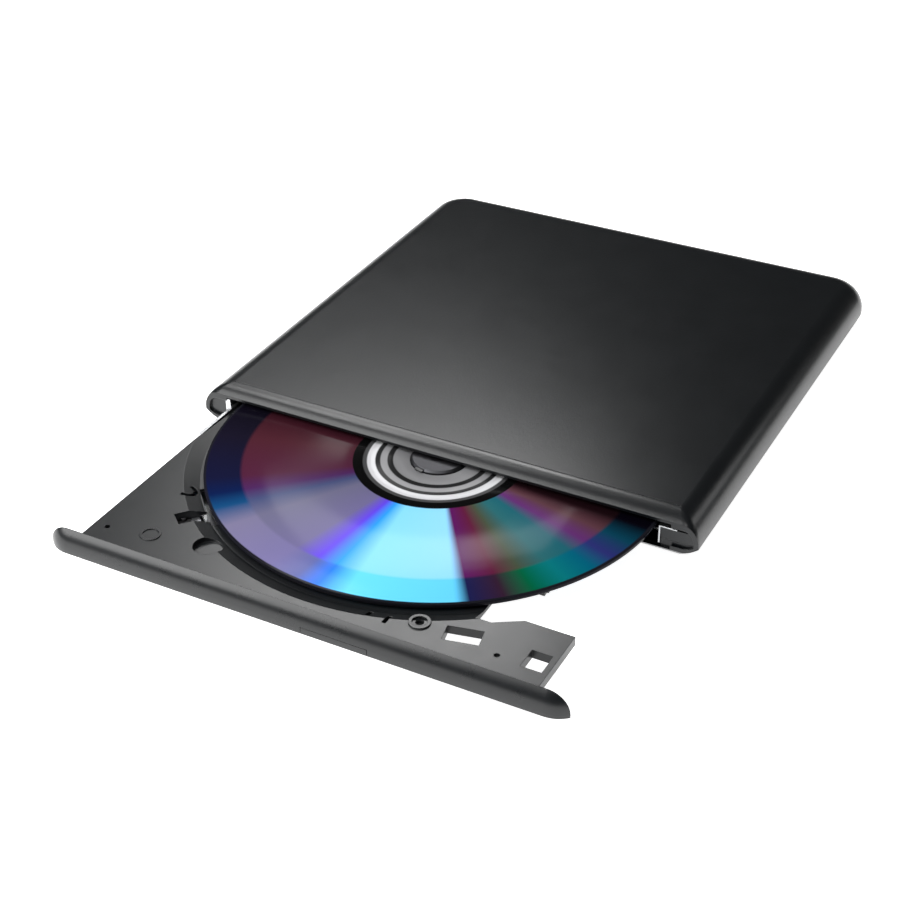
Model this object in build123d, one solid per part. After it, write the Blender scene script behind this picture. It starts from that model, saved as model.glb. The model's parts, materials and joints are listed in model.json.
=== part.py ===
from build123d import *
import os
from math import sqrt

# External slim optical drive: casing, disc tray on two slide rails, and the disc mechanism.
#
# +X is to the right, the tray comes out towards -Y, +Z is up, and sizes are in millimetres.
# The origin is on the desk, under the middle of the whole object with its tray part-way out.
# Every piece is modelled with the tray closed, measured from the middle of the casing, where the
# closed disc is centred too. It moves to its place in the half-open drive when it is written.

# Driving dimensions
CASE_W = 143.0       # casing width
CASE_D = 144.0       # depth of the closed drive, bezel included
CASE_H = 13.5        # height, rubber feet included
TRAY_OUT = 68.0      # how far the tray stands out here
DISC_R = 60.0
DISC_T = 1.2
DISC_HOLE_R = 7.5

# Casing
FOOT_H = 0.8
FLOOR_Z = 1.8        # top of the bottom cover's floor
WAIST_Z = 5.7        # widest line, where the two covers meet
WALL = 1.2
TOP_R = 7.0          # rounding of the top edge
FRONT_R = 3.0        # upright corners
BACK_R = 11.0
UNDERCUT = 5.4       # how far the bottom is drawn in below the waist
BEZEL_T = 2.4
BEZEL_R = 7.8        # the bezel's ends are rounder than the casing's corners
MOUTH_Y = -CASE_D / 2 + BEZEL_T
MOUTH_X = 64.2       # half width of the mouth
MOUTH_Z = 11.0       # lip of the top cover
SILL_Z = 3.5
END_Y = MOUTH_Y + 0.8                # front of the blocks that close the mouth's ends
END_X = (-65.1, 61.4)
END_TOP = 9.0
CREASE_Y = -CASE_D / 2 + TOP_R + 0.2
FOOT_R = 5.0
FOOT_AT = (55.0, 54.0)

# Drive chassis
CHASSIS_X = 64.0
CHASSIS_FRONT = -64.5
CHASSIS_BACK = 62.0
CHASSIS_Z = 2.0
CHASSIS_TOP = 11.6
SHEET = 0.5
STEP_X = 50.0        # the right part of the chassis is a raised shelf beyond this
STEP_Z = 5.0

# Tray
TRAY_TOP = 9.0
PLATE_Z = 6.7        # underside of the tray's plate
SKIRT_Z = 4.4
TRAY_LEFT = -62.0
TRAY_RIGHT = 46.0
TRAY_FRONT = -67.8
TRAY_BACK = 57.0
EAR_RIGHT = 60.5
EAR_BACK = -48.4
RECESS_R = 61.0
RECESS_RIM_R = 65.0
RECESS_Z = 7.6
CUT_R = 57.0         # the disc overhangs the tray beyond this radius, on the right

# Slide rails
RAIL_LEFT = -62.2
RAIL_RIGHT = 46.6
RAIL_W = 1.6
RAIL_Z = (4.0, 6.4)
RAIL_Y = (-51.0, 51.0)
GUIDE_Y = (CHASSIS_FRONT, 58.0)
RAIL_WEB = 0.4
RIB_Z = (4.8, 5.6)
BLADE_TOP = 8.6      # the left rail's blade stands beside the tray's edge

# Disc mechanism, along the pickup's line of travel
TRAVEL_ANGLE = 225.0
DISC_Z = 8.5         # underside of the disc
TURNTABLE_R = 14.6
HUB_R = 7.35
FRAME_U = (-16.0, 65.0)
FRAME_V = (-17.0, 22.0)
FRAME_Z = (4.6, 6.5)
WINDOW_U = (15.5, 62.5)
ROD_V = 13.0
ROD_R = 0.75
ROD_Z = 5.55
ROD_LENGTH = 50.0
SCREW_V = 18.0
LENS_U = 38.0
DAMPERS = [(-13.5, 13.5), (-13.5, -13.2), (66.5, 2.0)]

# Eject button and latch
BUTTON_X = (3.2, 20.4)
BUTTON_Z = (4.1, 7.3)
POST_AT = (30.5, -58.0)
HOOK_PIVOT = (25.0, -46.0)

# USB side
USB_X = 30.0
BOARD_Z = (4.2, 5.0)

CASING_AT = Pos(0, TRAY_OUT / 2, 0)
TRAY_AT = Pos(0, -TRAY_OUT / 2, 0)
RAILS_AT = Pos(0, 0, 0)
MECHANISM_AT = TRAY_AT * Rot(0, 0, TRAVEL_ANGLE)


# Helpers

def save(node, shape, at):
    """Write one node, moved to its place."""
    placed = at * shape
    placed.label = node
    export_step(placed, f"parts/{node}.step")


def block(x, y, z):
    """Box between three pairs of limits."""
    spans = (x, y, z)
    middle = [(low + high) / 2 for low, high in spans]
    size = [high - low for low, high in spans]
    return Pos(*middle) * Box(*size)


def post(x, y, z, r):
    """Upright cylinder between two heights."""
    low, high = z
    return Pos(x, y, (low + high) / 2) * Cylinder(r, high - low)


def ring(x, y, z, r_out, r_in):
    """Upright tube between two heights."""
    return post(x, y, z, r_out) - post(x, y, (z[0] - 1, z[1] + 1), r_in)


def screw(x, y, head_z, tip_z, head_r=1.5, shank_r=0.8, head_t=0.45):
    """Small cross-head screw, its head at the bottom."""
    head = post(x, y, (head_z, head_z + head_t), head_r)
    shank = post(x, y, (head_z + head_t, tip_z), shank_r)
    arm = head_r * 0.65
    slot_z = (head_z - 1, head_z + head_t * 0.6)
    cross = block((x - arm, x + arm), (y - 0.2, y + 0.2), slot_z)
    cross += block((x - 0.2, x + 0.2), (y - arm, y + arm), slot_z)
    return head + shank - cross


def group(solids):
    """Several separate solids written as one node."""
    return Compound(children=[solid.solid() for solid in solids])


# Casing

def outline(inset, z, front_r=FRONT_R):
    """Plan outline of the casing at a height, drawn in by inset."""
    plan = Rectangle(CASE_W - 2 * inset, CASE_D - 2 * inset)
    if front_r:
        plan = fillet(plan.vertices().group_by(Axis.Y)[0], max(front_r - inset, 0.4))
    plan = fillet(plan.vertices().group_by(Axis.Y)[-1], max(BACK_R - inset, 0.4))
    return Pos(0, 0, z) * plan


def is_front_corner(edge):
    """True for the upright edge at a front corner and the mitre that carries on from it."""
    shift = edge @ 1 - edge @ 0
    upright = abs(shift.Z) > 0.1 and abs(abs(shift.X) - abs(shift.Y)) < 0.01
    return upright and (edge @ 0).Y < -CASE_D / 4


def upper_form(inset):
    """The casing above its waist: rounded top edge, then tighter front corners."""
    form = extrude(outline(inset, WAIST_Z, front_r=0), CASE_H - inset - WAIST_Z)
    form = fillet(form.edges().group_by(Axis.Z)[-1], TOP_R - inset)
    return fillet([edge for edge in form.edges() if is_front_corner(edge)], FRONT_R - inset)


def lower_form(inset, bottom_z, front_r=FRONT_R):
    """The casing below its waist, drawn in towards the floor."""
    floor = outline(UNDERCUT + inset / 2, bottom_z, front_r)
    return loft([floor, outline(inset, WAIST_Z, front_r)], ruled=True)


def in_front_of(y):
    return block((-CASE_W, CASE_W), (-CASE_D, y), (-CASE_H, 2 * CASE_H))


def mouth():
    return block((-MOUTH_X, MOUTH_X), (-CASE_D, -60), (SILL_Z, MOUTH_Z))


def end_blocks(form, z):
    """Close the gaps between the mouth and the outer walls, a little behind the lip."""
    y = (END_Y, END_Y + 2)
    left = block((-CASE_W / 2, END_X[0]), y, z)
    right = block((END_X[1], CASE_W / 2), y, (z[0], END_TOP))
    return (left + right) & form


def usb_window():
    half = 4.1
    return block((USB_X - half, USB_X + half), (CASE_D / 2 - 6, CASE_D), (4.75, 9.15))


def case_screw_places():
    return [(-52.0, 63.8), (52.0, 63.8)]


def top_cover():
    form = upper_form(0)
    shell = form - upper_form(WALL)
    shell -= in_front_of(MOUTH_Y)
    shell -= mouth()
    shell += end_blocks(form, (WAIST_Z, CASE_H))
    half = CASE_W / 2 - TOP_R
    shell -= block((-half, half), (CREASE_Y - 0.2, CREASE_Y + 0.2), (CASE_H - 0.15, CASE_H + 1))
    for x, y in case_screw_places():
        shell += post(x, y, (2.6, CASE_H - WALL + 0.2), 1.45)
        shell -= post(x, y, (0, 8.0), 0.8)
    return shell - usb_window()


def snap_tabs():
    """Tongues that rise from the bottom cover inside the top cover's side walls."""
    tabs = []
    for y in (-40.0, 0.0, 40.0):
        for side in (-1, 1):
            x = sorted((side * 69.2, side * 70.2))
            tabs.append(block(x, (y - 5, y + 5), (4.9, 7.5)))
    return tabs


def chassis_screw_places():
    return [(x, y) for x in (-40.0, 40.0) for y in (-56.0, 54.0)]


def foot_places():
    x, y = FOOT_AT
    return [(sx * x, sy * y) for sx in (-1, 1) for sy in (-1, 1)]


def bottom_cover():
    form = lower_form(0, FOOT_H)
    shell = form - lower_form(WALL, FLOOR_Z)
    for tab in snap_tabs():
        shell += tab
    shell -= in_front_of(MOUTH_Y)
    shell -= mouth()
    shell += end_blocks(form, (FLOOR_Z, WAIST_Z))
    for x, y in chassis_screw_places():
        shell += post(x, y, (FLOOR_Z - 0.1, CHASSIS_Z), 3.0)
        shell -= post(x, y, (0, FOOT_H + 0.5), 1.6)
        shell -= post(x, y, (0, CHASSIS_Z + 1), 0.9)
    for x, y in case_screw_places():
        shell += post(x, y, (FLOOR_Z - 0.1, 2.5), 1.45)
        shell -= post(x, y, (0, FOOT_H + 0.5), 1.6)
        shell -= post(x, y, (0, 4), 0.9)
    for x, y in bridge_screw_places():
        shell += post(x, y, (FLOOR_Z - 0.1, BOARD_Z[0]), 1.5)
        shell -= post(x, y, (FLOOR_Z + 0.2, BOARD_Z[0] + 1), 0.6)
    for x, y in foot_places():
        shell -= post(x, y, (0, FOOT_H + 0.3), FOOT_R + 0.05)
    label_recess = block((-32, 32), (-18, 18), (0, FOOT_H + 0.2))
    return shell - label_recess - usb_window()


def rubber_feet():
    feet = []
    for x, y in foot_places():
        foot = post(x, y, (0, FOOT_H + 0.3), FOOT_R)
        feet.append(chamfer(foot.edges().group_by(Axis.Z)[0], 0.3))
    return group(feet)


def case_screws():
    return group([screw(x, y, FOOT_H + 0.05, 7.0) for x, y in case_screw_places()])


def chassis_screws():
    return group([screw(x, y, FOOT_H + 0.05, 2.8) for x, y in chassis_screw_places()])


# Drive chassis and its boards

def board_posts():
    return [(x, y) for x in (-52.0, 40.0) for y in (14.0, 50.0)]


def chassis_lips():
    """Folded sheet that lines the two ends of the mouth."""
    y = (MOUTH_Y + 0.5, CHASSIS_FRONT + 0.1)
    left, right = END_X
    foot_z = SILL_Z + 0.9
    lips = block((left + 0.1, -CHASSIS_X + SHEET), y, (foot_z, MOUTH_Z - 0.7))
    lips += block((right - SHEET, right - 0.1), y, (foot_z, END_TOP + 0.4))
    lips += block((right - SHEET, 65.6), y, (END_TOP + 0.1, END_TOP + 0.4))
    front = (CHASSIS_FRONT, CHASSIS_FRONT + SHEET)
    return lips + block((right - SHEET, CHASSIS_X), front, (foot_z + 0.1, END_TOP + 0.4))


def drive_chassis():
    """Folded sheet pan with a raised shelf along its right side."""
    x = CHASSIS_X
    y = (CHASSIS_FRONT, CHASSIS_BACK)
    z = (CHASSIS_Z, CHASSIS_TOP)
    back_y = (CHASSIS_BACK - SHEET, CHASSIS_BACK)
    pan = block((-x, STEP_X), y, (CHASSIS_Z, CHASSIS_Z + SHEET))
    pan += block((STEP_X - SHEET, STEP_X), y, (CHASSIS_Z, STEP_Z))
    pan += block((STEP_X - SHEET, x), y, (STEP_Z - SHEET, STEP_Z))
    pan += block((-x, -x + SHEET), y, z)
    pan += block((x - SHEET, x), y, (STEP_Z - SHEET, CHASSIS_TOP))
    pan += chassis_lips()
    pan += block((-x, x), back_y, (STEP_Z - SHEET, CHASSIS_TOP))
    pan += block((-x, STEP_X), back_y, z)
    pan -= data_connector_space(0.2)
    for px, py in chassis_screw_places():
        pan -= post(px, py, (0, CHASSIS_Z + 1), 0.8)
    for px, py in board_posts():
        pan += post(px, py, (CHASSIS_Z + 0.1, 2.9), 1.5)
        pan -= post(px, py, (CHASSIS_Z + SHEET, 4), 0.5)
    return pan


def drive_top_plate():
    """Flat sheet lid of the drive, with tabs folded down outside the chassis walls."""
    x = CHASSIS_X
    plate = block((-x, x), (-66.0, CHASSIS_BACK), (CHASSIS_TOP, CHASSIS_TOP + 0.4))
    for y in (-40.0, 0.0, 40.0):
        for side in (-1, 1):
            tab_x = sorted((side * x, side * (x + 0.3)))
            plate += block(tab_x, (y - 4, y + 4), (8.0, CHASSIS_TOP + 0.4))
    return plate


def latch_post():
    x, y = POST_AT
    return post(x, y, (CHASSIS_Z + SHEET, 2.9), 1.5) + post(x, y, (2.8, 6.2), 0.8)


def rail_guide(rail_x, side, wall_x):
    """Fixed channel that carries one slide rail; side points to the chassis wall."""
    outer = rail_x + side * RAIL_W / 2
    inner = rail_x - side * RAIL_W / 2
    face = outer + side * 0.12
    guide = block(sorted((inner, wall_x)), GUIDE_Y, (CHASSIS_Z + SHEET, RAIL_Z[0] - 0.15))
    guide += block(sorted((face, wall_x)), GUIDE_Y, (CHASSIS_Z + SHEET, RAIL_Z[1] + 0.1))
    return guide + block(sorted((face, outer - side * 0.4)), GUIDE_Y, RIB_Z)


def left_rail_guide():
    """The left guide also rises outside the rail's blade and hooks over it."""
    wall_x = -CHASSIS_X + SHEET
    top = BLADE_TOP + 0.65
    guide = rail_guide(RAIL_LEFT, -1, wall_x)
    guide += block((wall_x, wall_x + 0.25), GUIDE_Y, (RAIL_Z[1], top))
    return guide + block((wall_x, TRAY_LEFT - 0.3), GUIDE_Y, (BLADE_TOP + 0.15, top))


def left_slide_rail():
    blade = block((RAIL_LEFT - 0.9, RAIL_LEFT), RAIL_Y, (RAIL_Z[1] - 0.1, BLADE_TOP))
    return slide_rail(RAIL_LEFT) + blade


def slide_rail(rail_x):
    """Steel rail of I section that runs between a guide and the tray."""
    rail = block((rail_x - RAIL_W / 2, rail_x + RAIL_W / 2), RAIL_Y, RAIL_Z)
    groove_z = (RIB_Z[0] - 0.15, RIB_Z[1] + 0.15)
    for side in (-1, 1):
        groove_x = sorted((rail_x + side * RAIL_WEB / 2, rail_x + side * RAIL_W))
        rail -= block(groove_x, (RAIL_Y[0] - 1, RAIL_Y[1] + 1), groove_z)
    return rail


def main_board():
    board = block((-57.0, 44.0), (10.0, 58.0), (2.9, 3.5))
    for x, y in chassis_screw_places():
        board -= post(x, y, (2, 4), 1.6)
    for x, y in board_posts():
        board -= post(x, y, (2, 4), 0.6)
    return board


def board_chips():
    chips = [
        block((-40, -26), (26, 40), (3.5, 3.75)),
        block((-16, -6), (30, 36), (3.5, 3.75)),
        block((6, 16), (28, 38), (3.5, 3.75)),
        block((24, 31), (38, 43), (3.5, 3.75)),
    ]
    return group(chips)


def flex_connector():
    return block((-9, 9), (11, 14), (3.5, 3.8))


def flex_cable():
    """Flat cable from the main board forward, then folded back under the tray."""
    x = (-7, 7)
    low = block(x, (-48, 10.0), (2.75, 2.85))
    fold = block(x, (-48.3, -48), (2.75, 3.75))
    high = block(x, (-48, -12.0), (3.65, 3.75))
    return low + fold + high


def data_connector_space(gap):
    return block((6 - gap, 22 + gap), (59.0, 64.0), (BOARD_Z[1] - gap, 8.0 + gap))


def data_connector():
    body = data_connector_space(0)
    slot = block((7.5, 20.5), (58, 61.5), (6.1, 6.9))
    return body - slot


def bridge_screw_places():
    return [(2.0, 65.5), (44.0, 65.5)]


def usb_bridge_board():
    board = block((-1.0, 47.5), (62.8, 68.4), BOARD_Z)
    for x, y in bridge_screw_places():
        board -= post(x, y, (4, 6), 0.65)
    return board


def bridge_chip():
    return block((36.5, 41.5), (63.2, 68.2), (BOARD_Z[1], 5.8))


def bridge_screws():
    """Screws driven down through the bridge board into the bottom cover."""
    screws = []
    for x, y in bridge_screw_places():
        head = post(x, y, (BOARD_Z[1], BOARD_Z[1] + 0.5), 1.1)
        screws.append(head + post(x, y, (2.4, BOARD_Z[1]), 0.55))
    return group(screws)


def usb_socket():
    """Small five-pin receptacle shell, open to the back."""
    outer = block((USB_X - 3.85, USB_X + 3.85), (63.0, 70.8), (BOARD_Z[1], 8.9))
    inner = block((USB_X - 3.45, USB_X + 3.45), (63.6, 72.0), (BOARD_Z[1] + 0.4, 8.5))
    return outer - inner


def usb_tongue():
    return block((USB_X - 1.9, USB_X + 1.9), (63.6, 69.6), (6.5, 7.3))


# Tray and bezel

def on_circle(r, x):
    """Point of the front half of a circle about the disc's centre."""
    return (x, -sqrt(r * r - x * x))


def tray_outline():
    start = on_circle(CUT_R, 37.4)
    end = on_circle(CUT_R, TRAY_RIGHT)
    middle = on_circle(CUT_R, (37.4 + TRAY_RIGHT) / 2)
    front = Polyline(
        (TRAY_LEFT, TRAY_BACK - 4), (TRAY_LEFT, TRAY_FRONT), (EAR_RIGHT, TRAY_FRONT),
        (EAR_RIGHT, EAR_BACK), (48.0, EAR_BACK), (41.5, -52.4), (37.4, -52.4), start,
    )
    back = Polyline(
        end, (TRAY_RIGHT, TRAY_BACK - 4), (TRAY_RIGHT - 4, TRAY_BACK),
        (TRAY_LEFT + 4, TRAY_BACK), (TRAY_LEFT, TRAY_BACK - 4),
    )
    return make_face([front, ThreePointArc(start, middle, end), back])


def tray_openings():
    """Windows, slots and holes through the tray's plate."""
    z = (0, 20)
    cuts = block((53.9, 59.0), (-62.8, -56.8), z)
    cuts += Pos(38.0, -59.3, 10) * Rot(0, 0, 12) * Box(8.6, 5.0, 20)
    cuts += block((19.5, 20.5), (-63.6, -60.2), z)
    cuts += block((14.6, 15.6), (-62.6, -60.4), z)
    cuts += post(47.8, -62.0, z, 0.7)
    cuts += post(-58.2, -62.0, z, 0.7)
    cuts += Pos(-42.3, -48.6, 10) * Rot(0, 0, 49) * Box(8.5, 4.6, 20)
    cuts += ring(-50.2, -40.0, z, 2.6, 1.6) - block((-60, -50.6), (-45, -35), z)
    return cuts


def mechanism_opening():
    """Opening in the recess floor over the turntable and the pickup's travel."""
    slot = block((0, RECESS_R - 0.4), (-8.2, 8.2), (0, 20))
    return Rot(0, 0, TRAVEL_ANGLE) * (slot + post(0, 0, (0, 20), TURNTABLE_R + 0.9))


def disc_recess():
    depth = 3 * (TRAY_TOP - RECESS_Z)
    top_r = RECESS_R + (RECESS_RIM_R - RECESS_R) * 3
    cone = Pos(0, 0, RECESS_Z + depth / 2) * Cone(RECESS_R, top_r, depth)
    return cone + post(-32.0, -57.4, (RECESS_Z, 20), 3.6)


def tray_skirts():
    """Ribs under the plate; the outer two carry runners for the slide rails."""
    z = (SKIRT_Z, PLATE_Z + 0.1)
    left_x = (-61.2, -60.0)
    right_x = (44.2, 45.6)
    skirts = block((-60.0, 58.0), (TRAY_FRONT, TRAY_FRONT + 1.2), z)
    skirts += block(left_x, (TRAY_FRONT, TRAY_BACK - 4), z)
    skirts += block(right_x, (-33.0, TRAY_BACK - 4), z)
    skirts += block((-57.5, 41.5), (TRAY_BACK - 1.2, TRAY_BACK), z)
    runner_y = (-32.0, TRAY_BACK - 4)
    skirts += block((RAIL_LEFT + 0.4, left_x[0]), runner_y, RIB_Z)
    skirts += block((right_x[1], RAIL_RIGHT - 0.4), runner_y, RIB_Z)
    return skirts


def clip_places():
    return [-48.0, -8.0, 46.0]


def tray():
    plate = extrude(Pos(0, 0, PLATE_Z) * tray_outline(), TRAY_TOP - PLATE_Z)
    plate = plate - disc_recess() - mechanism_opening()
    plate += tray_skirts()
    plate += block((-59.0, 58.0), (MOUTH_Y + 0.05, TRAY_FRONT + 0.1), (5.0, 8.0))
    boss_x, boss_y = 27.2, -59.7
    plate += ring(boss_x, boss_y, (TRAY_TOP - 0.1, TRAY_TOP + 0.35), 2.6, 1.8)
    plate += ring(-46.9, -59.9, (TRAY_TOP - 0.1, TRAY_TOP + 0.25), 2.6, 2.0)
    plate -= tray_openings()
    plate -= post(boss_x, boss_y, (TRAY_TOP - 1.2, 20), 1.0)
    plate -= block((2.4, 21.2), (-CASE_D, TRAY_FRONT), (0, 7.7))
    plate -= block((9.8, 14.2), (-CASE_D, TRAY_FRONT + 3), (0, PLATE_Z))
    plate -= block((28.6, 32.4), (TRAY_BACK - 3, TRAY_BACK + 1), (0, PLATE_Z))
    for x in clip_places():
        plate -= block((x - 5.1, x + 5.1), (-CASE_D, TRAY_FRONT + 1.3), (5.2, PLATE_Z))
    for u, v in DAMPERS:
        plate -= Rot(0, 0, TRAVEL_ANGLE) * post(u, v, (0, 7.3), 0.75)
    for x, y in tray_screw_places():
        plate += post(x, y, (4.25, PLATE_Z + 0.1), 1.7)
        plate -= post(x, y, (0, 6.6), 0.7)
    return plate


def bezel_form():
    """Front slice of the casing's form, with rounder ends."""
    upper = extrude(outline(0, WAIST_Z, BEZEL_R), CASE_H - WAIST_Z)
    upper = fillet(upper.edges().group_by(Axis.Z)[-1], TOP_R)
    return (upper + lower_form(0, FOOT_H, BEZEL_R)) & in_front_of(MOUTH_Y - 0.15)


def front_bezel():
    bezel = bezel_form()
    gap = 0.15
    bezel -= block(
        (BUTTON_X[0] - gap, BUTTON_X[1] + gap), (-CASE_D, 0), (0, BUTTON_Z[1] + gap))
    for x in clip_places():
        bezel += block((x - 5, x + 5), (MOUTH_Y - 0.25, TRAY_FRONT + 1.9), (5.4, 6.4))
    return bezel


def eject_button():
    cap = bezel_form() & block(BUTTON_X, (-CASE_D, MOUTH_Y), (0, BUTTON_Z[1]))
    return cap + block((11.2, 12.8), (MOUTH_Y - 0.25, -66.3), (5.0, 6.0))


def tray_screw_places():
    return [(-55.0, -63.0), (-57.0, 46.0), (25.0, 46.0)]


def tray_bottom_plate():
    """Thin sheet that closes the underside of the tray."""
    sheet = block((-59.5, 27.0), (-65.8, 53.0), (3.9, 4.2))
    for x, y in tray_screw_places():
        sheet -= post(x, y, (3, 5), 0.8)
    return sheet


def tray_screws():
    """Flat-head screws that hold the bottom sheet to the tray."""
    screws = []
    for x, y in tray_screw_places():
        screws.append(screw(x, y, 3.7, 6.4, head_r=1.3, shank_r=0.65, head_t=0.2))
    return group(screws)


def tray_board():
    return block((4.0, 24.0), (-66.0, -61.2), (6.0, 6.6))


def eject_switch():
    return block((9.5, 14.5), (-65.3, -62.2), (4.6, 6.0)) + block(
        (11.3, 12.7), (-65.45, -65.2), (5.0, 6.0))


def latch_solenoid():
    coil = block((8.0, 20.0), (-56.5, -51.5), (4.5, 6.4))
    return coil + block((20.0, 22.0), (-54.8, -53.2), (5.0, 6.0))


def latch_hook():
    """Lever with a nose that catches the chassis post."""
    x, y = HOOK_PIVOT
    z = (4.8, 6.2)
    arm = Polyline(
        (x - 1.2, y), (x + 1.2, y), (x + 2.0, y - 8.6), (x + 4.2, y - 9.8), (x + 4.2, y - 10.8),
        (x + 0.2, y - 10.8), close=True)
    lever = extrude(Pos(0, 0, z[0]) * make_face(arm), z[1] - z[0])
    return lever + post(x, y, z, 1.9) - post(x, y, (0, 10), 0.85)


def hook_pin():
    x, y = HOOK_PIVOT
    return post(x, y, (4.3, PLATE_Z), 0.8) + post(x, y, (4.25, 4.6), 1.5)


# Disc mechanism: u runs along the pickup's travel, v across it

def along_u(v, r, length):
    """Rod along the travel, centred on the pickup's window."""
    return Pos(sum(WINDOW_U) / 2, v, ROD_Z) * Rot(0, 90, 0) * Cylinder(r, length)


def traverse_frame():
    frame = block(FRAME_U, FRAME_V, FRAME_Z)
    for u, v in DAMPERS:
        frame += post(u, v, FRAME_Z, 3.0)
    frame -= block(WINDOW_U, (FRAME_V[0] + 1.8, FRAME_V[1] - 1.8), (0, 20))
    frame -= post(0, 0, (0, 20), 12.8)
    frame -= block((0.8, 13.2), (15.2, 20.8), (0, 20))
    frame -= Pos(14.0, SCREW_V, ROD_Z) * Rot(0, 90, 0) * Cylinder(0.9, 6.0)
    for v in (-ROD_V, ROD_V):
        frame -= along_u(v, ROD_R, ROD_LENGTH + 0.2)
    for u, v in DAMPERS:
        frame -= post(u, v, (0, 20), 2.0)
    return frame


def guide_rod(v):
    return along_u(v, ROD_R, ROD_LENGTH)


def traverse_dampers():
    return group([ring(u, v, FRAME_Z, 2.0, 0.9) for u, v in DAMPERS])


def traverse_screws():
    screws = []
    for u, v in DAMPERS:
        screws.append(screw(u, v, FRAME_Z[0] - 0.32, 7.2, head_r=1.4, shank_r=0.7, head_t=0.3))
    return group(screws)


def motor_base():
    plate = post(0, 0, (4.3, FRAME_Z[0]), 14.0)
    return plate + post(0, 0, (FRAME_Z[0] - 0.1, 5.0), 2.2) - post(0, 0, (4.7, 10), 1.05)


def motor_coils():
    """Nine wound poles around the motor's bearing."""
    poles = ring(0, 0, (4.9, 5.3), 4.5, 2.3)
    for index in range(9):
        pole = block((4.3, 9.4), (-1.0, 1.0), (4.8, 6.2))
        poles += Rot(0, 0, index * 40) * pole
    return poles


def spindle_rotor():
    bell = post(0, 0, (5.0, 7.6), 12.0) - post(0, 0, (4, 6.9), 11.4)
    return bell + post(0, 0, (4.8, DISC_Z - 0.9), 1.0)


def turntable():
    return post(0, 0, (7.6, 8.2), TURNTABLE_R)


def friction_ring():
    return ring(0, 0, (8.2, DISC_Z), 14.0, 11.0)


def claw_angles():
    return [30.0, 150.0, 270.0]


def hub():
    """Centring boss, with three slots for the claws."""
    boss = post(0, 0, (8.2, 10.5), HUB_R)
    boss = chamfer(boss.edges().group_by(Axis.Z)[-1], 0.5)
    boss -= post(0, 0, (10.2, 12), 2.4)
    for angle in claw_angles():
        slot = block((3.9, 9.0), (-1.35, 1.35), (9.75, 10.3))
        boss -= Rot(0, 0, angle) * slot
    return boss


def hub_claw(angle):
    """Small hook that holds the disc's inner edge."""
    claw = block((4.8, 7.9), (-1.2, 1.2), (9.8, 10.2))
    return Rot(0, 0, angle) * claw


def disc():
    z = (DISC_Z, DISC_Z + DISC_T)
    return ring(0, 0, z, DISC_R, DISC_HOLE_R)


def pickup_carriage():
    """Sled that carries the lens along the two guide rods."""
    u = (LENS_U - 6.5, LENS_U + 4.5)
    sled = block(u, (-14.6, 14.6), (4.7, 6.3))
    for side in (-1, 1):
        yoke = sorted((side * 6.2, side * 7.0))
        sled += block((LENS_U - 3, LENS_U + 3), yoke, (6.2, 7.3))
    for v in (-ROD_V, ROD_V):
        sled -= along_u(v, ROD_R + 0.05, ROD_LENGTH)
    return sled


def rack_nut():
    """Toothed follower that rides on the lead screw's thread."""
    u = (LENS_U - 4, LENS_U + 2)
    arm = block(u, (14.6, 16.9), (4.9, 5.3))
    return arm + block(u, (16.0, 16.9), (5.2, 6.2))


def lens_holder():
    body = block((LENS_U - 3.2, LENS_U + 3.2), (-4.6, 4.6), (6.6, 7.2))
    return body - post(LENS_U, 0, (0, 10), 2.0)


def objective_lens():
    lens = post(LENS_U, 0, (6.7, 7.5), 2.0)
    return fillet(lens.edges().group_by(Axis.Z)[-1], 0.5)


def focus_magnets():
    magnets = []
    for side in (-1, 1):
        span = sorted((side * 5.2, side * 6.2))
        magnets.append(block((LENS_U - 2.5, LENS_U + 2.5), span, (6.3, 7.2)))
    return group(magnets)


def sled_motor():
    body = block((1.0, 12.2), (15.4, 20.6), (4.4, 6.6))
    body = fillet(body.edges().filter_by(Axis.X), 0.9)
    return body - Pos(12.0, SCREW_V, ROD_Z) * Rot(0, 90, 0) * Cylinder(0.5, 3.0)


def lead_screw():
    """Threaded shaft, drawn with ring-shaped threads."""
    start, end = 14.5, 60.5
    pitch = 1.0
    points = [(start, 0), (start, 0.55)]
    for index in range(int(end - start)):
        left = start + index * pitch
        points += [(left + 0.25, 0.8), (left + 0.5, 0.8), (left + 0.75, 0.55)]
    points += [(end, 0.55), (end, 0)]
    shaft = revolve(make_face(Polyline(*points, close=True)), Axis.X)
    journal = Pos(start - 1.5, 0, 0) * Rot(0, 90, 0) * Cylinder(0.45, 3.1)
    tip = Pos(end + 0.9, 0, 0) * Rot(0, 90, 0) * Cylinder(0.45, 1.9)
    return Pos(0, SCREW_V, ROD_Z) * (shaft + journal + tip)


def write_casing():
    pieces = {
        "top_cover": top_cover(),
        "bottom_cover": bottom_cover(),
        "rubber_feet": rubber_feet(),
        "case_screws": case_screws(),
        "chassis_screws": chassis_screws(),
        "drive_chassis": drive_chassis(),
        "drive_top_plate": drive_top_plate(),
        "latch_post": latch_post(),
        "left_rail_guide": left_rail_guide(),
        "right_rail_guide": rail_guide(RAIL_RIGHT, 1, STEP_X - SHEET),
        "main_board": main_board(),
        "board_chips": board_chips(),
        "flex_connector": flex_connector(),
        "flex_cable": flex_cable(),
        "data_connector": data_connector(),
        "usb_bridge_board": usb_bridge_board(),
        "bridge_chip": bridge_chip(),
        "bridge_screws": bridge_screws(),
        "usb_socket": usb_socket(),
        "usb_tongue": usb_tongue(),
    }
    for node, shape in pieces.items():
        save(node, shape, CASING_AT)


def write_rails():
    save("left_slide_rail", left_slide_rail(), RAILS_AT)
    save("right_slide_rail", slide_rail(RAIL_RIGHT), RAILS_AT)


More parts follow.
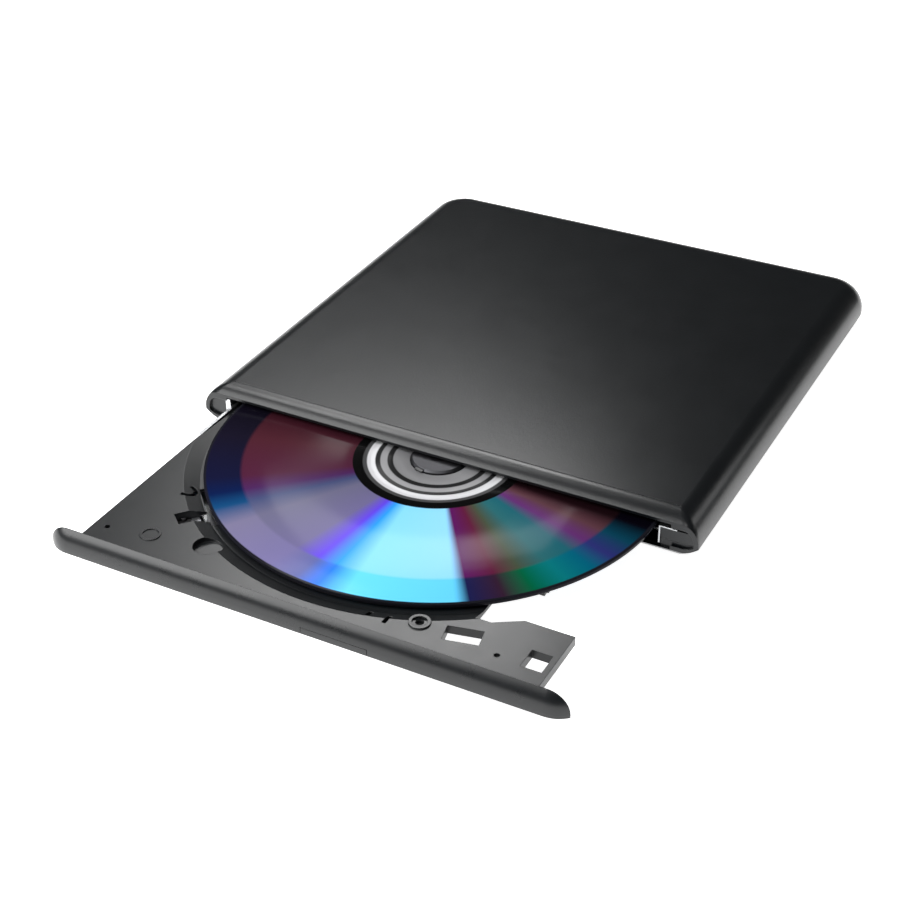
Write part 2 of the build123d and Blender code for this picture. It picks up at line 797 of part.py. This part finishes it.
def write_tray():
    pieces = {
        "tray": tray(),
        "front_bezel": front_bezel(),
        "eject_button": eject_button(),
        "tray_bottom_plate": tray_bottom_plate(),
        "tray_screws": tray_screws(),
        "tray_board": tray_board(),
        "eject_switch": eject_switch(),
        "latch_solenoid": latch_solenoid(),
        "latch_hook": latch_hook(),
        "hook_pin": hook_pin(),
    }
    for node, shape in pieces.items():
        save(node, shape, TRAY_AT)


def write_mechanism():
    pieces = {
        "traverse_frame": traverse_frame(),
        "main_guide_rod": guide_rod(ROD_V),
        "side_guide_rod": guide_rod(-ROD_V),
        "traverse_dampers": traverse_dampers(),
        "traverse_screws": traverse_screws(),
        "motor_base": motor_base(),
        "motor_coils": motor_coils(),
        "spindle_rotor": spindle_rotor(),
        "turntable": turntable(),
        "friction_ring": friction_ring(),
        "hub": hub(),
        "disc": disc(),
        "pickup_carriage": pickup_carriage(),
        "rack_nut": rack_nut(),
        "lens_holder": lens_holder(),
        "objective_lens": objective_lens(),
        "focus_magnets": focus_magnets(),
        "sled_motor": sled_motor(),
        "lead_screw": lead_screw(),
    }
    for index, angle in enumerate(claw_angles(), start=1):
        pieces[f"hub_claw_{index}"] = hub_claw(angle)
    for node, shape in pieces.items():
        save(node, shape, MECHANISM_AT)


os.makedirs("parts", exist_ok=True)
write_casing()
write_rails()
write_tray()
write_mechanism()
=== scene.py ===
import bpy
import json
import math
from mathutils import Matrix, Vector


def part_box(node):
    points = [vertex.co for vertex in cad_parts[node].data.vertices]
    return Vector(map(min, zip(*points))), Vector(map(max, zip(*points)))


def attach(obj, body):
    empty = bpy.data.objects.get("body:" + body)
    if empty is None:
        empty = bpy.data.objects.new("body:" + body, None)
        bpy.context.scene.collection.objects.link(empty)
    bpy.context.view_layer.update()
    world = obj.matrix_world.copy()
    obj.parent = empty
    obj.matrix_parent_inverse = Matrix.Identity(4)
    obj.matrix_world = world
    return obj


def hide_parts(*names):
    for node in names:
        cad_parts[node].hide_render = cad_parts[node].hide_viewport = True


# Looks of the external optical drive: materials, the detailed disc, studio and camera.
# Everything is in metres, in the CAD frame: +X right, the tray comes out towards -Y, +Z up.

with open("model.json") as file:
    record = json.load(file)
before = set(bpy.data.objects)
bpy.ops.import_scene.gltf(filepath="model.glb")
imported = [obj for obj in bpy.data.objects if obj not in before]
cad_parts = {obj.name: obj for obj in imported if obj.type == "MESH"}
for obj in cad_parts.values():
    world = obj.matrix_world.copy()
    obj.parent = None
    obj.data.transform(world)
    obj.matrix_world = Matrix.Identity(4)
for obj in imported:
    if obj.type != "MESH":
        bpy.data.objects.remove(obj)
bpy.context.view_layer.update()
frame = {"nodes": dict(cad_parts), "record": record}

MM = 0.001
disc_low, disc_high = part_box("disc")
DISC_CENTRE = Vector(((disc_low.x + disc_high.x) / 2, (disc_low.y + disc_high.y) / 2, disc_high.z))
DISC_R = (disc_high.x - disc_low.x) / 2
DISC_T = disc_high.z - disc_low.z
HOLE_R = 7.5 * MM
EDGE_EASE = 0.2 * MM         # rounding that the shading gives every edge
SOFT = 0.15 * MM             # half width of the blend between two rings of the disc


# Node helpers

def new_material(name, roughness=0.5, metallic=0.0):
    """Material with a Principled shader; returns it with its node tree and shader."""
    mat = bpy.data.materials.new(name)
    mat.use_nodes = True
    tree = mat.node_tree
    shader = tree.nodes["Principled BSDF"]
    shader.inputs["Roughness"].default_value = roughness
    shader.inputs["Metallic"].default_value = metallic
    return mat, tree, shader


def node(tree, kind, links=None, **settings):
    """Add a node, set its properties and link or fill its inputs."""
    made = tree.nodes.new(kind)
    for key, value in settings.items():
        setattr(made, key, value)
    for name, value in (links or {}).items():
        if isinstance(value, bpy.types.NodeSocket):
            tree.links.new(value, made.inputs[name])
        else:
            made.inputs[name].default_value = value
    return made


def object_coordinates(tree, scale=(1, 1, 1)):
    """The object's own coordinates, in metres."""
    source = node(tree, "ShaderNodeTexCoord").outputs["Object"]
    return node(tree, "ShaderNodeMapping", {"Vector": source, "Scale": scale}).outputs["Vector"]


def noise(tree, size, detail=3.0, stretch=(1, 1, 1)):
    """Noise whose features are about size metres across."""
    vector = object_coordinates(tree, stretch)
    inputs = {"Vector": vector, "Scale": 1 / size, "Detail": detail}
    return node(tree, "ShaderNodeTexNoise", inputs).outputs["Fac"]


def spread(tree, value, low, high):
    """Map a noise value to a range."""
    inputs = {"Value": value, "From Min": 0.3, "From Max": 0.7, "To Min": low, "To Max": high}
    return node(tree, "ShaderNodeMapRange", inputs).outputs["Result"]


def blend_colours(tree, fac, a, b):
    """Colour a where fac is 0, colour b where it is 1."""
    mix = tree.nodes.new("ShaderNodeMix")
    mix.data_type = "RGBA"
    for value, socket in ((fac, 0), (a, 6), (b, 7)):
        if isinstance(value, bpy.types.NodeSocket):
            tree.links.new(value, mix.inputs[socket])
        else:
            mix.inputs[socket].default_value = value
    return mix.outputs[2]


def tint(tree, fac, colour, change):
    """The colour, darker and lighter by a share of itself."""
    darker = [c * (1 - change) for c in colour]
    lighter = [c * (1 + change) for c in colour]
    return blend_colours(tree, fac, (*darker, 1), (*lighter, 1))


def bump(tree, height, depth):
    """Surface relief over softly rounded edges."""
    eased = node(tree, "ShaderNodeBevel", {"Radius": EDGE_EASE}, samples=4).outputs["Normal"]
    inputs = {"Height": height, "Distance": depth, "Strength": 1.0, "Normal": eased}
    return node(tree, "ShaderNodeBump", inputs).outputs["Normal"]


# Materials

def moulded(name, colour, roughness, grain, depth, variation=0.12, coat=0.0):
    """Moulded plastic or rubber with a fine eroded grain."""
    mat, tree, shader = new_material(name)
    coarse = noise(tree, grain * 14)
    fine = noise(tree, grain, detail=2.0)
    tree.links.new(tint(tree, coarse, colour, variation), shader.inputs["Base Color"])
    tree.links.new(spread(tree, coarse, roughness - 0.012, roughness + 0.012), shader.inputs["Roughness"])
    tree.links.new(bump(tree, fine, depth), shader.inputs["Normal"])
    shader.inputs["Coat Weight"].default_value = coat
    shader.inputs["Coat Roughness"].default_value = 0.12
    return mat


def metal(name, colour, roughness, grain, stretch=(1, 1, 1), depth=2e-6):
    """Metal with brushed or cast surface marks."""
    mat, tree, shader = new_material(name, metallic=1.0)
    marks = noise(tree, grain, detail=4.0, stretch=stretch)
    tree.links.new(tint(tree, marks, colour, 0.08), shader.inputs["Base Color"])
    tree.links.new(spread(tree, marks, roughness - 0.06, roughness + 0.08), shader.inputs["Roughness"])
    tree.links.new(bump(tree, marks, depth), shader.inputs["Normal"])
    return mat


MATERIALS = {
    "casing_plastic": moulded("casing_plastic", (0.004, 0.005, 0.006), 0.3, 0.6 * MM, 0.02 * MM),
    "bezel_plastic": moulded("bezel_plastic", (0.006, 0.007, 0.008), 0.28, 0.4 * MM, 0.003 * MM),
    "tray_plastic": moulded("tray_plastic", (0.010, 0.011, 0.012), 0.3, 0.35 * MM, 0.006 * MM),
    "rubber": moulded("rubber", (0.02, 0.02, 0.02), 0.75, 0.3 * MM, 0.02 * MM),
    "sheet_steel": metal("sheet_steel", (0.62, 0.63, 0.64), 0.32, 0.6 * MM, (1, 12, 1)),
    "screw_steel": metal("screw_steel", (0.25, 0.25, 0.26), 0.35, 0.2 * MM),
    "ground_steel": metal("ground_steel", (0.8, 0.8, 0.81), 0.14, 0.2 * MM, (1, 1, 8)),
    "inner_plastic": moulded("inner_plastic", (0.02, 0.02, 0.022), 0.5, 0.3 * MM, 0.01 * MM),
    "board": moulded("board", (0.01, 0.07, 0.03), 0.35, 0.8 * MM, 0.01 * MM, coat=0.5),
    "flat_cable": moulded("flat_cable", (0.6, 0.55, 0.42), 0.3, 0.5 * MM, 0.004 * MM, coat=0.3),
    "socket_metal": metal("socket_metal", (0.75, 0.75, 0.77), 0.22, 0.3 * MM, (6, 1, 1)),
    "copper_coils": metal("copper_coils", (0.72, 0.36, 0.18), 0.35, 0.15 * MM),
    "die_cast": metal("die_cast", (0.45, 0.46, 0.48), 0.45, 0.25 * MM, depth=8e-6),
    "magnet": metal("magnet", (0.5, 0.5, 0.52), 0.2, 0.2 * MM),
    "spindle_metal": metal("spindle_metal", (0.06, 0.06, 0.065), 0.45, 0.3 * MM),
    "claw_plastic": moulded("claw_plastic", (0.03, 0.03, 0.032), 0.4, 0.2 * MM, 0.005 * MM),
}


def lens_glass():
    """Coated glass of the objective lens."""
    mat, tree, shader = new_material("lens_glass", roughness=0.03)
    streaks = noise(tree, 1.5 * MM)
    tree.links.new(tint(tree, streaks, (0.35, 0.5, 0.85), 0.2), shader.inputs["Base Color"])
    shader.inputs["Transmission Weight"].default_value = 0.8
    shader.inputs["Coat Weight"].default_value = 1.0
    return mat


MATERIALS["lens_glass"] = lens_glass()


# Disc

def srgb(r, g, b):
    """Linear colour of an 8-bit display colour."""
    return tuple(((c / 255 + 0.055) / 1.055) ** 2.4 if c > 10 else c / 255 / 12.92 for c in (r, g, b))


# Fans of painted diffraction colour and painted reflection round the disc, the bright cyan fans a painted
# reflection of a lamp: degrees from +X, then the display colours of the recorded zone and of the
# unrecorded band outside it.
PAINTED_REFLECTION_FANS = [
    (180, (44, 16, 24), (10, 8, 16)),
    (196, (68, 30, 40), (20, 17, 32)),
    (216, (72, 30, 52), (18, 20, 48)),
    (223, (68, 34, 82), (11, 26, 68)),
    (229, (64, 72, 109), (18, 66, 110)),
    (237, (100, 98, 124), (112, 107, 136)),
    (256, (104, 98, 138), (112, 106, 150)),
    (264, (94, 63, 217), (92, 98, 155)),
    (270, (42, 150, 246), (38, 118, 238)),
    (277, (130, 208, 252), (98, 206, 247)),
    (302, (140, 208, 250), (96, 200, 245)),
    (305, (85, 23, 88), (25, 28, 72)),
    (313, (88, 26, 54), (48, 27, 45)),
    (320, (65, 74, 58), (2, 90, 58)),
    (328, (40, 97, 103), (8, 110, 115)),
    (336, (28, 90, 102), (3, 89, 114)),
    (342, (90, 42, 104), (42, 43, 108)),
    (349, (84, 52, 60), (8, 60, 80)),
    (356, (24, 10, 14), (6, 4, 12)),
]
RECORDED = 1
UNRECORDED = 2
EDGE_OF_RECORDING = 50.5 * MM


def painted_reflection_wheel(tree, turn, zone):
    """Ramp of one zone's painted diffraction colours and painted reflections over half a turn; the far
    half of the disc repeats it.
    """
    ramp = node(tree, "ShaderNodeValToRGB", {"Fac": turn})
    elements = ramp.color_ramp.elements
    elements.remove(elements[-1])
    for index, fan in enumerate(PAINTED_REFLECTION_FANS):
        place = (fan[0] - PAINTED_REFLECTION_FANS[0][0]) / 180
        element = elements[0] if index == 0 else elements.new(place)
        element.position = place
        element.color = (*srgb(*fan[zone]), 1)
    return ramp.outputs["Color"]


def maths(tree, operation, a, b=None):
    """Result of one operation on sockets or numbers."""
    made = tree.nodes.new("ShaderNodeMath")
    made.operation = operation
    for index, value in enumerate((a, b)):
        if isinstance(value, bpy.types.NodeSocket):
            tree.links.new(value, made.inputs[index])
        elif value is not None:
            made.inputs[index].default_value = value
    return made.outputs[0]


def step(tree, value, edge, width):
    """0 below the edge, 1 above it."""
    inputs = {"Value": value, "From Min": edge - width, "From Max": edge + width}
    return node(tree, "ShaderNodeMapRange", inputs, clamp=True).outputs["Result"]


# Rings of the disc's middle, from the hole outwards: outer radius in mm and grey level; the silver ring
# is real, its bright grey (0.6) a painted reflection.
RINGS = [(11.8, 0.3), (13.3, 0.015), (15.1, 0.25), (16.4, 0.02), (18.5, 0.6), (19.6, 0.06), (22.2, 0.003)]
CLEAR_R = RINGS[0][0] * MM
CLEAR_SHARE = 0.3    # how much of the middle's light passes through
DARK_RIM = 0.7 * MM


def disc_material():
    """Fans of painted diffraction colour and painted reflection, the dark and bright rings, and the clear
    middle.
    """
    mat, tree, shader = new_material("disc_painted_reflections", roughness=0.12)
    split = node(tree, "ShaderNodeSeparateXYZ", {"Vector": object_coordinates(tree)})
    x, y = split.outputs["X"], split.outputs["Y"]
    squares = [maths(tree, "MULTIPLY", axis, axis) for axis in (x, y)]
    radius = maths(tree, "SQRT", maths(tree, "ADD", *squares))
    half_turns = maths(tree, "DIVIDE", maths(tree, "ARCTAN2", y, x), math.pi)
    turn = maths(tree, "FRACT", maths(tree, "ADD", half_turns, 2.0))
    unrecorded = step(tree, radius, EDGE_OF_RECORDING, 0.5 * MM)
    # painted diffraction colours and painted reflections of the lamps, by angle round the disc
    zones = [painted_reflection_wheel(tree, turn, zone) for zone in (RECORDED, UNRECORDED)]
    colour = blend_colours(tree, unrecorded, *zones)
    for outer, grey in reversed(RINGS):
        beyond = step(tree, radius, outer * MM, SOFT)
        # grey of each ring; the silver ring's bright grey is a painted reflection
        colour = blend_colours(tree, beyond, (grey, grey, grey * 1.03, 1), colour)
    past_rim = step(tree, radius, DISC_R - DARK_RIM, SOFT)
    colour = blend_colours(tree, past_rim, colour, (0.01, 0.01, 0.014, 1))
    tree.links.new(colour, shader.inputs["Base Color"])
    clear = maths(tree, "SUBTRACT", 1.0, step(tree, radius, CLEAR_R, SOFT))
    tree.links.new(maths(tree, "MULTIPLY", clear, CLEAR_SHARE), shader.inputs["Transmission Weight"])
    shader.inputs["Specular IOR Level"].default_value = 0.04
    return mat


def lathe(name, profile, segments, material):
    """Closed ring turned from a profile of (radius, height) points about the disc's axis."""
    count = len(profile)
    verts = []
    for index in range(segments):
        angle = 2 * math.pi * index / segments
        verts += [(r * math.cos(angle), r * math.sin(angle), z) for r, z in profile]
    faces = []
    for index in range(segments):
        start = index * count
        after = ((index + 1) % segments) * count
        for k in range(count):
            following = (k + 1) % count
            faces.append((start + k, after + k, after + following, start + following))
    mesh = bpy.data.meshes.new(name)
    mesh.from_pydata(verts, [], faces)
    mesh.polygons.foreach_set("use_smooth", [True] * len(faces))
    mesh.materials.append(material)
    made = bpy.data.objects.new(name, mesh)
    bpy.context.scene.collection.objects.link(made)
    return made


def disc_piece():
    """Polycarbonate disc with eased edges and a stacking ring."""
    ease = 0.15 * MM
    groove = 0.08 * MM
    ring_r = 17.0 * MM
    top = [
        (DISC_R, -ease), (DISC_R - ease * 0.3, -ease * 0.3), (DISC_R - ease, 0),
        (ring_r + 1.0 * MM, 0), (ring_r + 0.8 * MM, -groove), (ring_r, -groove),
        (ring_r - 0.2 * MM, 0), (HOLE_R + ease, 0), (HOLE_R, -ease),
    ]
    bottom = [
        (HOLE_R, -DISC_T + ease), (HOLE_R + ease, -DISC_T),
        (DISC_R - ease, -DISC_T), (DISC_R, -DISC_T + ease),
    ]
    made = lathe("disc_painted_reflections", top + bottom, 256, disc_material())
    made.location = DISC_CENTRE
    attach(made, "spindle")
    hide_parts("disc")
    return made


# Studio

AMBIENT = 0.05       # strength of the white surroundings as a light


def floor():
    """White floor that gives off light, so that it stays free of shadows."""
    mesh = bpy.data.meshes.new("floor")
    size = 6.0
    corners = [(-size, -size, 0), (size, -size, 0), (size, size, 0), (-size, size, 0)]
    mesh.from_pydata(corners, [], [(0, 1, 2, 3)])
    mat, tree, shader = new_material("floor", roughness=0.9)
    shader.inputs["Base Color"].default_value = (0.9, 0.9, 0.9, 1)
    shader.inputs["Emission Color"].default_value = (1, 1, 1, 1)
    shader.inputs["Emission Strength"].default_value = 0.95
    mesh.materials.append(mat)
    made = bpy.data.objects.new("floor", mesh)
    bpy.context.scene.collection.objects.link(made)


def softbox(name, azimuth, elevation, distance, size, power):
    """Area light aimed at the object; azimuth is measured from +X."""
    a, e = math.radians(azimuth), math.radians(elevation)
    towards = Vector((math.cos(a) * math.cos(e), math.sin(a) * math.cos(e), math.sin(e)))
    lamp = bpy.data.lights.new(name, "AREA")
    lamp.shape = "RECTANGLE"
    lamp.size, lamp.size_y = size
    lamp.energy = power
    made = bpy.data.objects.new(name, lamp)
    made.location = towards * distance
    made.rotation_euler = towards.to_track_quat("Z", "Y").to_euler()
    made.visible_camera = False
    bpy.context.scene.collection.objects.link(made)


def studio():
    """White surroundings that give little light, and the lamps: lid_sheen brightens the lid's front
    left, ridge_light and edge_light its front edge and the bezel's top, side_light the right side,
    recess_light the tray and disc_light the disc."""
    world = bpy.data.worlds.new("studio")
    bpy.context.scene.world = world
    world.use_nodes = True
    background = world.node_tree.nodes["Background"]
    background.inputs["Color"].default_value = (1, 1, 1, 1)
    seen = node(world.node_tree, "ShaderNodeLightPath").outputs["Is Camera Ray"]
    strength = maths(world.node_tree, "MAXIMUM", seen, AMBIENT)
    world.node_tree.links.new(strength, background.inputs["Strength"])
    softbox("lid_sheen", 129, 46, 0.5, (0.16, 0.16), 0.55)
    softbox("ridge_light", 158, 58, 0.6, (0.16, 0.12), 0.7)
    softbox("edge_light", 230, 40, 0.5, (0.36, 0.45), 3.0)
    softbox("side_light", 39, 22, 0.33, (0.08, 0.08), 0.05)
    softbox("recess_light", 113, 52, 0.22, (0.05, 0.05), 0.05)
    softbox("disc_light", 298, 62, 1.2, (0.5, 0.5), 3.2)


# Camera, fitted to the disc's rim and the casing's straight edges

CAMERA_ANGLES = (28.213, 33.192, -0.644)     # degrees: azimuth from the front, elevation and roll
CAMERA_DISTANCE = 0.44672
CAMERA_LENS = 68.70
AIM_RIGHT = 4.648 * MM       # the camera's aim, from the middle of the disc
AIM_UP = 2.243 * MM


def camera():
    azimuth, elevation, roll = (math.radians(v) for v in CAMERA_ANGLES)
    level = math.cos(elevation)
    back = Vector((math.sin(azimuth) * level, -math.cos(azimuth) * level, math.sin(elevation)))
    right = Vector((math.cos(azimuth), math.sin(azimuth), 0))
    up = back.cross(right)
    turn = Matrix.Rotation(roll, 3, back)
    right, up = turn @ right, turn @ up
    aim = DISC_CENTRE + right * AIM_RIGHT + up * AIM_UP
    data = bpy.data.cameras.new("camera")
    data.lens = CAMERA_LENS
    data.sensor_width = 36
    data.clip_start = 0.01
    made = bpy.data.objects.new("camera", data)
    facing = Matrix((right, up, back)).transposed().to_4x4()
    made.matrix_world = Matrix.Translation(aim + back * CAMERA_DISTANCE) @ facing
    bpy.context.scene.collection.objects.link(made)
    bpy.context.scene.camera = made


def dress_nodes():
    """Give each CAD node the material of its slot; the disc has a piece of its own instead."""
    slots = {part["node"]: part["material_slot"] for part in frame["record"]["subparts"]}
    for name, obj in frame["nodes"].items():
        material = MATERIALS.get(slots[name])
        if material is None:
            continue
        obj.data.materials.clear()
        obj.data.materials.append(material)


bpy.context.scene.view_settings.view_transform = "Standard"
camera()
studio()
floor()
dress_nodes()
disc_piece()
